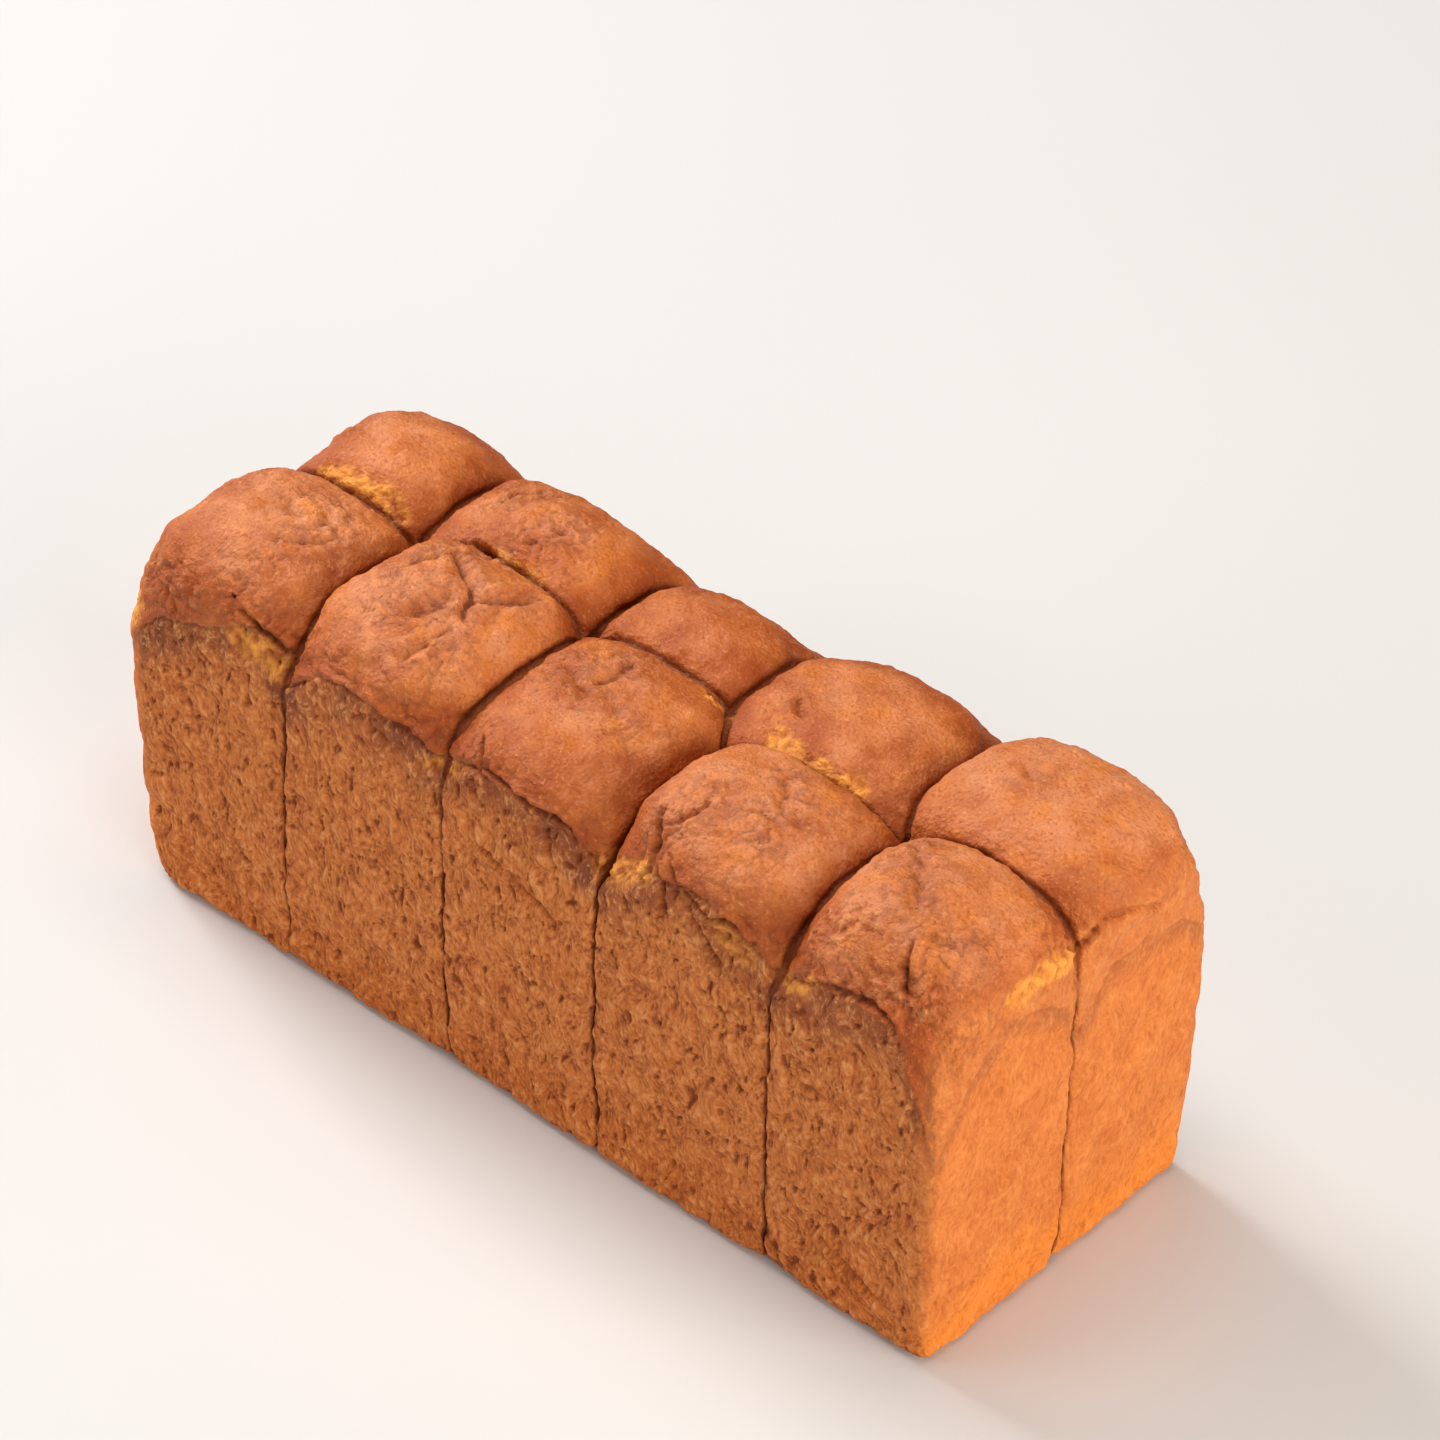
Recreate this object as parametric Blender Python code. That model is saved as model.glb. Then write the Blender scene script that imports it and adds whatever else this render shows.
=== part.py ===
"""A pull-apart tin loaf: two rows of five dough rolls that rose together in a straight-sided tin.

Each roll is a column of rounded-square sections. Low down they fill a cell of the tin, with tight
vertical corners. From the shoulder up they draw in to a round crown. One union then joins the ten rolls
into the loaf, which leaves the deep grooves between the crowns and the seams in the walls.

Axes: +X along the loaf, +Y from the front row to the back row, +Z up. The origin is under the middle of
the base. All sizes are in metres.
"""

import math
from collections import namedtuple

import bmesh
import bpy
from mathutils import Vector, noise

MM = 0.001

# The tin, which gives the baked walls their form
BASE_HALF_LENGTH = 141.2 * MM
BASE_HALF_WIDTH = 51.2 * MM
WALL_SPREAD = 3.3 * MM
SPREAD_HEIGHT = 80.0 * MM
BASE_EDGE_RADIUS = 3.5 * MM

# A roll's sections, from its cell in the tin up to its crown
RIM_HEIGHT = 111.0 * MM
SHOULDER_HEIGHT = 87.0 * MM
CROWN_FOOT_HEIGHT = RIM_HEIGHT + 3.0 * MM
SHOULDER_SHAPE = 1.6
CELL_ROUNDNESS = 13.0
OUTER_ROUNDNESS = 2.7
INNER_ROUNDNESS = 4.5
TOP_ROUNDNESS = 2.4
SEAM_OVERLAP = 1.2 * MM

# The crumb that the rolls share in the middle, where it closes the gaps between four round corners
CORE_HALF_SIZE = (100.0 * MM, 12.0 * MM, 52.0 * MM)
CORE_CENTRE_HEIGHT = 57.0 * MM

# The crust lip that hangs over the wall, high in the middle of a face and lower towards its corners
LIP_HEIGHT = RIM_HEIGHT + 1.0 * MM
LIP_OUT = 1.8 * MM
LIP_SPAN = 5.0 * MM
LIP_RAGGEDNESS = 11.0 * MM

# The slow unevenness of hand-shaped dough
SWELL_DEPTH = 0.9 * MM
SWELL_SIZE = 17.0 * MM
CREASE_HALF_WIDTH = 5.0 * MM

# The mesh of one roll: cells across its crown, then rings of vertices down its sides. A ring of the
# shoulder has its level in the middle of a face, and how far it drops at the corners.
CELLS_ACROSS = 12
CORNER_CROWDING = 1.1
CAP_ANGLE = math.radians(63.0)
SHOULDER_RINGS = [(4.5, 2.0), (1.0, 8.0), (-4.5, 12.0), (-11.0, 13.0), (-20.0, 10.0), (-34.0, 3.0)]
WALL_LEVELS = [48.0 * MM, 20.0 * MM]
BASE_EDGE_ANGLES = [math.radians(degrees) for degrees in (0.0, 45.0, 90.0)]

# Where the seams between neighbouring rolls cross the base and the rim, along X
SEAMS_AT_BASE = [-88.0 * MM, -28.0 * MM, 25.5 * MM, 86.0 * MM]
SEAMS_AT_RIM = [-84.0 * MM, -26.0 * MM, 29.0 * MM, 88.0 * MM]
ROLLS_IN_ROW = len(SEAMS_AT_BASE) + 1

# A crown's reach along X and Y at the rim, the height of its top, and its fullness, where 2 is round
Crown = namedtuple("Crown", "left right near far top fullness")
FRONT_CROWNS = [
    Crown(-143.0 * MM, -82.0 * MM, -54.5 * MM, 3.8 * MM, 128.3 * MM, 2.10),
    Crown(-87.3 * MM, -24.5 * MM, -54.5 * MM, 8.2 * MM, 132.6 * MM, 2.25),
    Crown(-31.5 * MM, 29.0 * MM, -54.5 * MM, 10.4 * MM, 125.5 * MM, 2.40),
    Crown(29.0 * MM, 93.5 * MM, -54.3 * MM, 0.5 * MM, 132.5 * MM, 2.35),
    Crown(88.0 * MM, 144.8 * MM, -54.5 * MM, 4.5 * MM, 136.0 * MM, 2.10),
]
BACK_CROWNS = [
    Crown(-140.5 * MM, -86.5 * MM, -4.0 * MM, 49.5 * MM, 126.3 * MM, 1.75),
    Crown(-91.8 * MM, -28.5 * MM, -2.5 * MM, 49.0 * MM, 127.2 * MM, 1.80),
    Crown(-30.5 * MM, 24.0 * MM, 2.0 * MM, 46.0 * MM, 124.5 * MM, 1.75),
    Crown(17.5 * MM, 86.0 * MM, -6.5 * MM, 51.5 * MM, 124.5 * MM, 2.20),
    Crown(80.0 * MM, 146.0 * MM, -1.0 * MM, 54.5 * MM, 131.5 * MM, 2.50),
]

# Creases in the crowns, where the dough was gathered: depth, then points as millimetres along X and Y
CREASES = [
    (1.6 * MM, [(-121, -30), (-113, -26), (-103, -17)]),
    (2.4 * MM, [(-64, -16), (-60, -27), (-61, -38)]),
    (1.6 * MM, [(-60, -27), (-45, -16), (-38, -9)]),
    (1.4 * MM, [(-62, -38), (-70, -46)]),
    (1.3 * MM, [(-13, -16), (-2, -22), (12, -8)]),
    (1.5 * MM, [(37, -40), (47, -26), (63, -20)]),
    (1.7 * MM, [(113, -14), (116, -34), (113, -46)]),
    (1.1 * MM, [(-70, 14), (-50, 12), (-40, 22)]),
    (1.3 * MM, [(40, 14), (50, 4)]),
]

CRUST_COLOUR = (0.52, 0.19, 0.06, 1.0)
CRUST_ROUGHNESS = 0.55


def mix(start, end, share):
    return start + (end - start) * share


def share_between(low, high, value):
    """0 below low, 1 above high, and a straight climb between them."""
    return min(max((value - low) / (high - low), 0.0), 1.0)


def smooth_step(low, high, value):
    """0 below low, 1 above high, and an even S between them."""
    share = share_between(low, high, value)
    return share * share * (3.0 - 2.0 * share)


def bump(centre, span, value):
    """1 at the centre, falling smoothly to 0 at one span from it."""
    return smooth_step(1.0, 0.0, abs(value - centre) / span)


def base_inset(height):
    """How far the rounded bottom edge draws the wall in at this height."""
    drop = max(BASE_EDGE_RADIUS - height, 0.0)
    return BASE_EDGE_RADIUS - math.sqrt(BASE_EDGE_RADIUS**2 - drop**2)


def cell(column, in_back, height):
    """Left, right, near and far sides of the roll's cell in the tin at this height."""
    spread = WALL_SPREAD * (1.0 - max(1.0 - height / SPREAD_HEIGHT, 0.0) ** 2)
    climb = height / RIM_HEIGHT
    seams = [mix(base, rim, climb) for base, rim in zip(SEAMS_AT_BASE, SEAMS_AT_RIM)]
    left = seams[column - 1] - SEAM_OVERLAP if column > 0 else -BASE_HALF_LENGTH - spread
    right = seams[column] + SEAM_OVERLAP if column < ROLLS_IN_ROW - 1 else BASE_HALF_LENGTH + spread
    near = -SEAM_OVERLAP if in_back else -BASE_HALF_WIDTH - spread
    far = BASE_HALF_WIDTH + spread if in_back else SEAM_OVERLAP
    return left, right, near, far


def side_rings():
    """Height in the middle of a face, and drop at the corners, of each ring below the cap."""
    rings = [(RIM_HEIGHT + rise * MM, drop * MM) for rise, drop in SHOULDER_RINGS]
    rings += [(level, 0.0) for level in WALL_LEVELS]
    rings += [(BASE_EDGE_RADIUS * (1.0 - math.sin(angle)), 0.0) for angle in BASE_EDGE_ANGLES]
    return rings


def lip_out(place, above_lip):
    """How far the ragged lip stands out of the wall at this place, by its height over the lip's line."""
    ragged = 0.6 + 1.2 * noise.noise(place / LIP_RAGGEDNESS)
    return LIP_OUT * ragged * bump(0.0, LIP_SPAN, above_lip)


def surface_point(column, in_back, crown, u, v, height, drop):
    """The roll's surface at this height, in the direction u, v from its middle, both from -1 to 1."""
    corner_drop = drop * min(abs(u), abs(v)) ** 2
    above_lip = height - LIP_HEIGHT
    height -= corner_drop
    lift = share_between(SHOULDER_HEIGHT, CROWN_FOOT_HEIGHT, height) ** SHOULDER_SHAPE
    sides = cell(column, in_back, min(height, RIM_HEIGHT))
    left, right, near, far = (mix(low, high, lift) for low, high in zip(sides, crown[:4]))
    inward = (1.0 - v if in_back else 1.0 + v) / 2.0
    foot_roundness = mix(OUTER_ROUNDNESS, INNER_ROUNDNESS, inward)
    roundness = 1.0 / mix(1.0 / CELL_ROUNDNESS, 1.0 / foot_roundness, lift)
    rise = share_between(RIM_HEIGHT, crown.top, height)
    roundness = mix(roundness, TOP_ROUNDNESS, rise)
    draw = (1.0 - rise**crown.fullness) ** (1.0 / crown.fullness)
    if draw > 0.0:
        draw /= (abs(u) ** roundness + abs(v) ** roundness) ** (1.0 / roundness)
    middle = Vector(((left + right) / 2.0, (near + far) / 2.0, height))
    out = lip_out(middle + Vector((u, v, 0.0)) * SWELL_SIZE, above_lip) - base_inset(height)
    half_x, half_y = (right - left) / 2.0 + out, (far - near) / 2.0 + out
    return middle + Vector((half_x * draw * u, half_y * draw * v, 0.0))


def grid_place(step):
    """Where a line of the cap's grid runs, from -1 to 1, crowded towards the corners."""
    return math.sin(CORNER_CROWDING * (2.0 * step / CELLS_ACROSS - 1.0)) / math.sin(CORNER_CROWDING)


def roll_mesh(column, in_back, crown):
    """One roll as a closed mesh: a cap of square cells, rings down the sides and one flat base."""
    mesh = bmesh.new()
    steps = range(CELLS_ACROSS + 1)

    def vertex(i, j, height, drop):
        across, along = grid_place(i), grid_place(j)
        reach = max(abs(across), abs(along), 1e-9)
        place = surface_point(column, in_back, crown, across / reach, along / reach, height, drop)
        return mesh.verts.new(place)

    def cap_height(i, j):
        angle = CAP_ANGLE * max(abs(grid_place(i)), abs(grid_place(j)))
        return RIM_HEIGHT + (crown.top - RIM_HEIGHT) * math.cos(angle) ** (2.0 / crown.fullness)

    cap = {(i, j): vertex(i, j, cap_height(i, j), 0.0) for i in steps for j in steps}
    for i in steps[:-1]:
        for j in steps[:-1]:
            mesh.faces.new((cap[i, j], cap[i + 1, j], cap[i + 1, j + 1], cap[i, j + 1]))
    edge = [(i, 0) for i in steps[:-1]] + [(CELLS_ACROSS, j) for j in steps[:-1]]
    edge += [(CELLS_ACROSS - i, CELLS_ACROSS - j) for i, j in edge]
    above = [cap[place] for place in edge]
    for height, drop in side_rings():
        below = [vertex(i, j, height, drop) for i, j in edge]
        for k, corner in enumerate(above):
            mesh.faces.new((corner, below[k], below[k - len(edge) + 1], above[k - len(edge) + 1]))
        above = below
    mesh.faces.new(above[::-1])
    bmesh.ops.recalc_face_normals(mesh, faces=mesh.faces)
    return mesh


def crease_depth(point):
    """How deep the nearest creases press the crown at this point."""
    depth = 0.0
    for full_depth, places in CREASES:
        line = [Vector((x, y)) * MM for x, y in places]
        for start, end in zip(line, line[1:]):
            run = end - start
            share = min(max((point.xy - start).dot(run) / run.length_squared, 0.0), 1.0)
            apart = (point.xy - start - run * share).length
            depth = max(depth, full_depth * bump(0.0, CREASE_HALF_WIDTH, apart))
    return depth


def add_relief(mesh):
    """Moves each vertex along its normal: slow swells all over, and the creases in the crown."""
    mesh.normal_update()
    moves = []
    for vertex in mesh.verts:
        swell = SWELL_DEPTH * noise.noise(vertex.co / SWELL_SIZE) if vertex.co.z > BASE_EDGE_RADIUS else 0.0
        move = swell - crease_depth(vertex.co) * max(vertex.normal.z, 0.0)
        moves.append(vertex.normal * move)
    for vertex, move in zip(mesh.verts, moves):
        vertex.co += move


def crust_material():
    material = bpy.data.materials.new("crust")
    material.use_nodes = True
    shader = material.node_tree.nodes["Principled BSDF"]
    shader.inputs["Base Color"].default_value = CRUST_COLOUR
    shader.inputs["Roughness"].default_value = CRUST_ROUGHNESS
    material.diffuse_color = CRUST_COLOUR
    return material


def make_roll(column, in_back, crown, collection):
    mesh = roll_mesh(column, in_back, crown)
    add_relief(mesh)
    data = bpy.data.meshes.new("roll")
    mesh.to_mesh(data)
    mesh.free()
    roll = bpy.data.objects.new(f"roll_{'back' if in_back else 'front'}_{column + 1}", data)
    collection.objects.link(roll)
    return roll


def make_core(collection):
    mesh = bmesh.new()
    bmesh.ops.create_cube(mesh, size=2.0)
    bmesh.ops.scale(mesh, vec=CORE_HALF_SIZE, verts=mesh.verts)
    bmesh.ops.translate(mesh, vec=(0.0, 0.0, CORE_CENTRE_HEIGHT), verts=mesh.verts)
    data = bpy.data.meshes.new("core")
    mesh.to_mesh(data)
    mesh.free()
    collection.objects.link(bpy.data.objects.new("core", data))


def join_rolls(first, others):
    """Joins the rolls by one union and returns the loaf's mesh."""
    union = first.modifiers.new("union", "BOOLEAN")
    union.operation = "UNION"
    union.operand_type = "COLLECTION"
    union.collection = others
    union.solver = "EXACT"
    bpy.context.view_layer.update()
    return bpy.data.meshes.new_from_object(first.evaluated_get(bpy.context.evaluated_depsgraph_get()))


def build():
    for old in list(bpy.data.objects):
        bpy.data.objects.remove(old)
    scene = bpy.context.scene
    others = bpy.data.collections.new("rolls")
    scene.collection.children.link(others)
    first = None
    for in_back, crowns in ((False, FRONT_CROWNS), (True, BACK_CROWNS)):
        for column, crown in enumerate(crowns):
            home = others if first else scene.collection
            roll = make_roll(column, in_back, crown, home)
            first = first or roll
    make_core(others)
    loaf = bpy.data.objects.new("loaf", join_rolls(first, others))
    for roll in [first, *others.objects]:
        bpy.data.objects.remove(roll)
    bpy.data.collections.remove(others)
    scene.collection.objects.link(loaf)
    loaf.data.name = "loaf"
    loaf.data.materials.clear()
    loaf.data.materials.append(crust_material())
    loaf.data.shade_smooth()
    loaf.data.set_sharp_from_angle(angle=math.radians(40.0))


build()
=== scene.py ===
"""Looks of a pull-apart tin loaf: ten rolls of enriched dough that rose and baked together in one tin.

One Geometry Nodes tree makes every roll as a closed mesh. It bends a fine block into the roll's form,
close to the solid's, and then presses the crust's relief into it: creases where the dough was gathered,
the ragged lip over each baked wall, pores in the walls, torn spots, and clefts along the seams. The tree
also writes where each of these is, and the crust's material colours them by that. Some of these colours
are painted light: shade in the pores, cracks, wrinkles, slits, clefts and torn pits, shade and light in the
walls' hollows and ridges, shade on the crowns' lower flanks, sheen on their tops, and a glow at the foot
of the end faces. The tree runs twice for each roll: once plain and coarse, so that its neighbours know
where they touch it, and once in full.

Axes: +X along the loaf, +Y from the front row to the back row, +Z up. Sizes are in metres.
"""

import math

import bpy
from mathutils import Matrix, Vector, noise


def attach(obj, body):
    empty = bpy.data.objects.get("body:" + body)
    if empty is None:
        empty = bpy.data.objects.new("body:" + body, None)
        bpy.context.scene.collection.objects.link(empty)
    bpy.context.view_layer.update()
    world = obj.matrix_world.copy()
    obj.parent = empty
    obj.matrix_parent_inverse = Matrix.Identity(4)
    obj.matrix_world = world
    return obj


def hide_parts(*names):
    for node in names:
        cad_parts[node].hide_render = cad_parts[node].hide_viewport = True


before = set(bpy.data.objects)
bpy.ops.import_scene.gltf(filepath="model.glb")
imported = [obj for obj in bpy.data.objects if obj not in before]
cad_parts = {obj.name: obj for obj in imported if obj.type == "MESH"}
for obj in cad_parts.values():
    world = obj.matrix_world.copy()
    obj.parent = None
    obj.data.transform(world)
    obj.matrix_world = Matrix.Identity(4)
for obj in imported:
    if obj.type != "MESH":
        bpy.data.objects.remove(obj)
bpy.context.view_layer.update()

MM = 0.001

# Camera, at the photograph's viewing angle
CAMERA_AZIMUTH = math.radians(41.728)
CAMERA_ELEVATION = math.radians(40.432)
CAMERA_ROLL = math.radians(0.715)
CAMERA_DISTANCE = 1.8991
CAMERA_ASIDE = 0.0177
CAMERA_ABOVE = 0.0800
CAMERA_LENS = 175.0
CAMERA_SENSOR = 36.0

# The tin, which gives the baked walls their form
BASE_HALF_LENGTH = 141.2 * MM
BASE_HALF_WIDTH = 51.2 * MM
WALL_SPREAD = 3.3 * MM
SPREAD_HEIGHT = 80.0 * MM
BASE_EDGE_RADIUS = 3.5 * MM

# A roll's sections, from its cell in the tin up to its crown
RIM_HEIGHT = 111.0 * MM
SHOULDER_HEIGHT = 87.0 * MM
CROWN_FOOT_HEIGHT = RIM_HEIGHT + 3.0 * MM
SHOULDER_SHAPE = 1.6
SEAM_SHOULDER_HEIGHT = 99.0 * MM
SEAM_FOOT_HEIGHT = CROWN_FOOT_HEIGHT + 2.0 * MM
EDGE_ROUNDNESS = 14.0
SEAM_ROUNDNESS = 28.0
OUTER_ROUNDNESS = 2.7
INNER_ROUNDNESS = 4.5
TOP_ROUNDNESS = 2.4
SEAM_OVERLAP = 0.3 * MM
SEAMS_AT_BASE = [-88.0, -28.0, 25.5, 86.0]
SEAMS_AT_RIM = [-84.0, -26.0, 29.0, 88.0]

# The block that is bent into a roll: its rows across and up, the angle of the crown's cap, how the rows
# crowd toward it, and the levels of the lowest row
FINE_ROWS = (92, 186)
COARSE_ROWS = (36, 52)
CAP_ANGLE = math.radians(63.0)
ROW_CROWDING = 1.15
BASE_ROW = (-0.999, -1.0)
TINY = 1e-6

# Each roll: its crown's reach along X and Y at the rim, top and fullness, then the height of the lip over
# its long wall and over its end wall, at five places from one side to the other. All but the fullness are
# in millimetres. A roll that has no end wall has no second lip.
ROLLS = {
    "front_1": ((-143.0, -82.0, -54.5, 3.8), 128.3, 2.10, (88, 101, 107, 115, 109), (82, 97, 105, 101, 94)),
    "front_2": ((-87.3, -24.5, -54.5, 8.2), 132.6, 2.25, (102, 113, 116, 112, 108), (0, 0, 0, 0, 0)),
    "front_3": ((-31.5, 29.0, -54.5, 10.4), 125.5, 2.40, (109, 114, 114, 113, 107), (0, 0, 0, 0, 0)),
    "front_4": ((29.0, 93.5, -54.3, 0.5), 132.5, 2.35, (104, 114, 118, 114, 106), (0, 0, 0, 0, 0)),
    "front_5": ((88.0, 144.8, -54.5, 4.5), 136.0, 2.10, (107, 111, 115.5, 112, 76), (76, 98, 107, 102, 95)),
    "back_1": ((-137.5, -87.5, -4.0, 46.5), 126.3, 1.72, (90, 102, 108, 105, 99), (95, 101, 106, 102, 90)),
    "back_2": ((-91.8, -28.5, -2.5, 46.5), 127.2, 1.78, (99, 105, 107, 104, 98), (0, 0, 0, 0, 0)),
    "back_3": ((-30.5, 24.0, 2.0, 43.0), 123.8, 1.75, (98, 103, 106, 105, 100), (0, 0, 0, 0, 0)),
    "back_4": ((17.5, 86.0, -6.5, 50.5), 124.5, 2.20, (100, 107, 109, 107, 102), (0, 0, 0, 0, 0)),
    "back_5": ((80.0, 146.0, -1.0, 54.5), 131.5, 2.50, (104, 109, 111, 105, 88), (82, 98, 100, 96, 86)),
}

# Rolls with a calm crust, and how much of the wrinkling they keep
CALM_ROLLS = ("back_1", "back_3", "back_4", "back_5")
CALM_SHARE = 0.45

# Names of the tree's inputs for a roll
END_SIDES = ("Left", "Right")
LONG_SIDES = ("Near", "Far")
SIDES = END_SIDES + LONG_SIDES
ROLL_SIZES = [f"{side} {what}" for side in SIDES for what in ("At Base", "At Rim", "In Crown", "On Tin")]
ROLL_SIZES += ["Top", "Fullness", "Back Row", "Wrinkling"]
LIP_PLACES = ("At Start", "Near Start", "Mid", "Near Finish", "At Finish")
ROLL_SIZES += [f"{wall} Lip {at}" for wall in ("Long", "End") for at in LIP_PLACES]

# Creases and folds: how deep and how wide to each side the trough is, how deep the crack along its bottom
# is, then the places that they pass, in millimetres. The depths are multiplied by the creases' strength,
# further down, and a trough of negative depth is a ridge.
CREASES = [
    (0.5, 2.8, 0.8, [(-109, -34, 127), (-105, -32, 127), (-101, -29, 127), (-98, -25, 126),
                     (-97, -21, 126)]),
    (0.6, 2.6, 0.4, [(-104, -28, 127), (-103, -21, 126), (-103, -12, 126)]),
    (0.4, 2.2, 0.2, [(-116, -20, 126), (-111, -22, 127), (-104, -28, 127)]),
    (0.3, 1.8, 0.3, [(-112, -44, 124), (-108, -42, 125), (-103, -40, 125)]),
    (1.4, 1.0, 1.2, [(-105, -50, 119), (-105, -50.7, 118.3)]),
    (0.2, 1.2, 1.8, [(-104, -52, 117), (-95, -51, 114), (-89, -50, 111), (-84, -48, 108)]),
    (0.4, 1.5, 0.5, [(-126, -55, 111), (-121, -55, 103), (-115, -54, 98), (-110, -54, 93)]),
    (-0.5, 1.6, 0.0, [(-131, -54, 108), (-124, -55, 106), (-116, -54, 103)]),
    (1.3, 3.2, 1.3, [(-67, -6, 130), (-57, -13, 132), (-51, -16, 131), (-46, -23, 132), (-43, -28, 131)]),
    (1.5, 3.4, 0.5, [(-49, -19, 131), (-44, -16, 130), (-41, -9, 128), (-39, 0, 127)]),
    (0.6, 2.6, 0.2, [(-43, -29, 131), (-46, -35, 130), (-47, -41, 129), (-49, -47, 125)]),
    (1.5, 3.6, 0.4, [(-51, -22, 132), (-52, -27, 132), (-55, -32, 132), (-60, -38, 130)]),
    (0.5, 2.2, 0.5, [(-71, -21, 130), (-69, -17, 131), (-65, -9, 130)]),
    (-0.5, 1.2, 0.0, [(-72, -53, 114), (-66, -54, 116), (-57, -54, 116.5), (-50, -54, 115)]),
    (0.3, 1.4, 1.2, [(-50, -54, 114), (-45, -54, 113), (-40, -53, 112), (-35, -52, 110)]),
    (0.4, 1.6, 0.6, [(-52, -54, 109), (-46, -54, 105), (-43, -54, 99)]),
    (0.8, 3.2, 0.5, [(-17, -16, 124), (-8, -19, 125), (-5, -19, 125), (-2, -25, 124)]),
    (0.7, 2.8, 0.3, [(-5, -19, 125), (-5, -10, 124), (-4, -1, 124)]),
    (0.4, 2.4, 0.1, [(-5, -19, 125), (3, -20, 125), (10, -24, 124)]),
    (0.5, 1.6, 1.2, [(-18, -46, 119), (-14, -51, 117), (-12, -54, 112)]),
    (0.2, 1.2, 1.6, [(-20, -54, 112), (-9, -54, 115), (1, -54, 114), (10, -54, 113), (15, -54, 114),
                     (24, -52, 109)]),
    (0.6, 1.8, 1.1, [(-17, -55, 91), (-5, -55, 87), (2, -54, 84), (11, -54, 81), (17, -55, 76)]),
    (0.4, 1.5, 0.6, [(-15, -54, 111), (-12, -55, 103)]),
    (0.4, 1.5, 0.5, [(11, -55, 109), (13, -54, 98)]),
    (0.7, 2.4, 1.1, [(50, -34, 131), (51, -40, 130), (47, -47, 126)]),
    (0.5, 2.0, 0.8, [(60, -35, 132), (64, -31, 132), (68, -30, 132)]),
    (0.7, 2.8, 0.2, [(60, -14, 130), (65, -21, 132), (68, -25, 132), (69, -30, 132)]),
    (0.5, 2.0, 0.5, [(68, -24, 132), (74, -25, 131)]),
    (0.9, 1.0, 0.8, [(70, -39, 130), (70.6, -39.4, 130)]),
    (1.0, 2.2, 1.0, [(41, -40, 127), (45, -50, 121), (46, -53, 115)]),
    (0.5, 1.8, 0.8, [(44, -47, 123), (48, -53, 116), (52, -55, 111), (52, -54, 97)]),
    (0.3, 1.3, 1.5, [(50, -50, 122), (54, -53, 118), (60, -54, 115), (68, -55, 113), (74, -54, 114),
                     (84, -51, 109)]),
    (0.5, 1.8, 1.0, [(62, -55, 111), (67, -55, 103), (72, -55, 96)]),
    (0.4, 1.6, 0.6, [(58, -54, 116), (66, -55, 105), (72, -55, 99), (79, -55, 92)]),
    (0.7, 2.6, 0.3, [(101, -13, 130), (114, -27, 135), (119, -35, 134), (123, -41, 132)]),
    (0.6, 2.0, 1.3, [(123, -41, 132), (126, -45, 129), (130, -51, 121)]),
    (0.5, 2.2, 0.3, [(123, -38, 133), (129, -37, 131), (133, -34, 130)]),
    (0.3, 1.3, 1.5, [(99, -54, 111), (106, -54, 113), (116, -54, 116), (125, -54, 116), (131, -54, 109)]),
    (0.5, 2.0, 0.1, [(131, -54, 108), (137, -53, 101), (140, -52, 88), (142, -51, 78)]),
    (0.6, 1.9, 0.7, [(97, -53, 30), (111, -53, 21), (120, -53, 18), (133, -52, 11)]),
    (0.4, 1.6, 0.5, [(99, -53, 22), (110, -53, 15), (120, -53, 9)]),
    (0.4, 1.6, 0.8, [(93, -55, 78), (100, -55, 75), (106, -54, 77), (114, -54, 75)]),
    (0.3, 1.6, 0.3, [(144, -49, 98), (144, -46, 103), (145, -43, 108), (145, -36, 112)]),
    (0.5, 1.8, 1.0, [(143, -7, 116), (141, 2, 112), (143, 9, 116), (146, 18, 115), (146, 34, 108)]),
    (0.8, 2.2, 0.6, [(-133, 16, 120), (-133, 24, 120)]),
    (0.9, 2.0, 1.4, [(-73, 6, 122), (-67, 5, 122), (-58, 0, 127)]),
    (0.6, 2.2, 0.6, [(-77, 21, 125), (-75, 28, 125), (-70, 33, 125)]),
    (0.6, 2.2, 0.5, [(-60, 11, 125), (-54, 19, 127), (-53, 25, 127)]),
    (0.7, 2.0, 0.7, [(35, 18, 123), (37, 14, 123), (42, 11, 122)]),
    (0.5, 2.2, 0.4, [(100, 29, 131), (108, 24, 132)]),
    (0.4, 1.8, 0.4, [(-100, 54, 70), (-92, 54, 60)]),
    (0.5, 1.8, 0.6, [(-2, 54, 84), (8, 54, 77), (14, 54, 66)]),
    (0.5, 1.8, 0.6, [(60, 54, 40), (72, 54, 34), (80, 54, 24)]),
    (0.5, 1.8, 0.6, [(-144, -30, 60), (-144, -22, 50), (-144, -18, 38)]),
]

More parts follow.
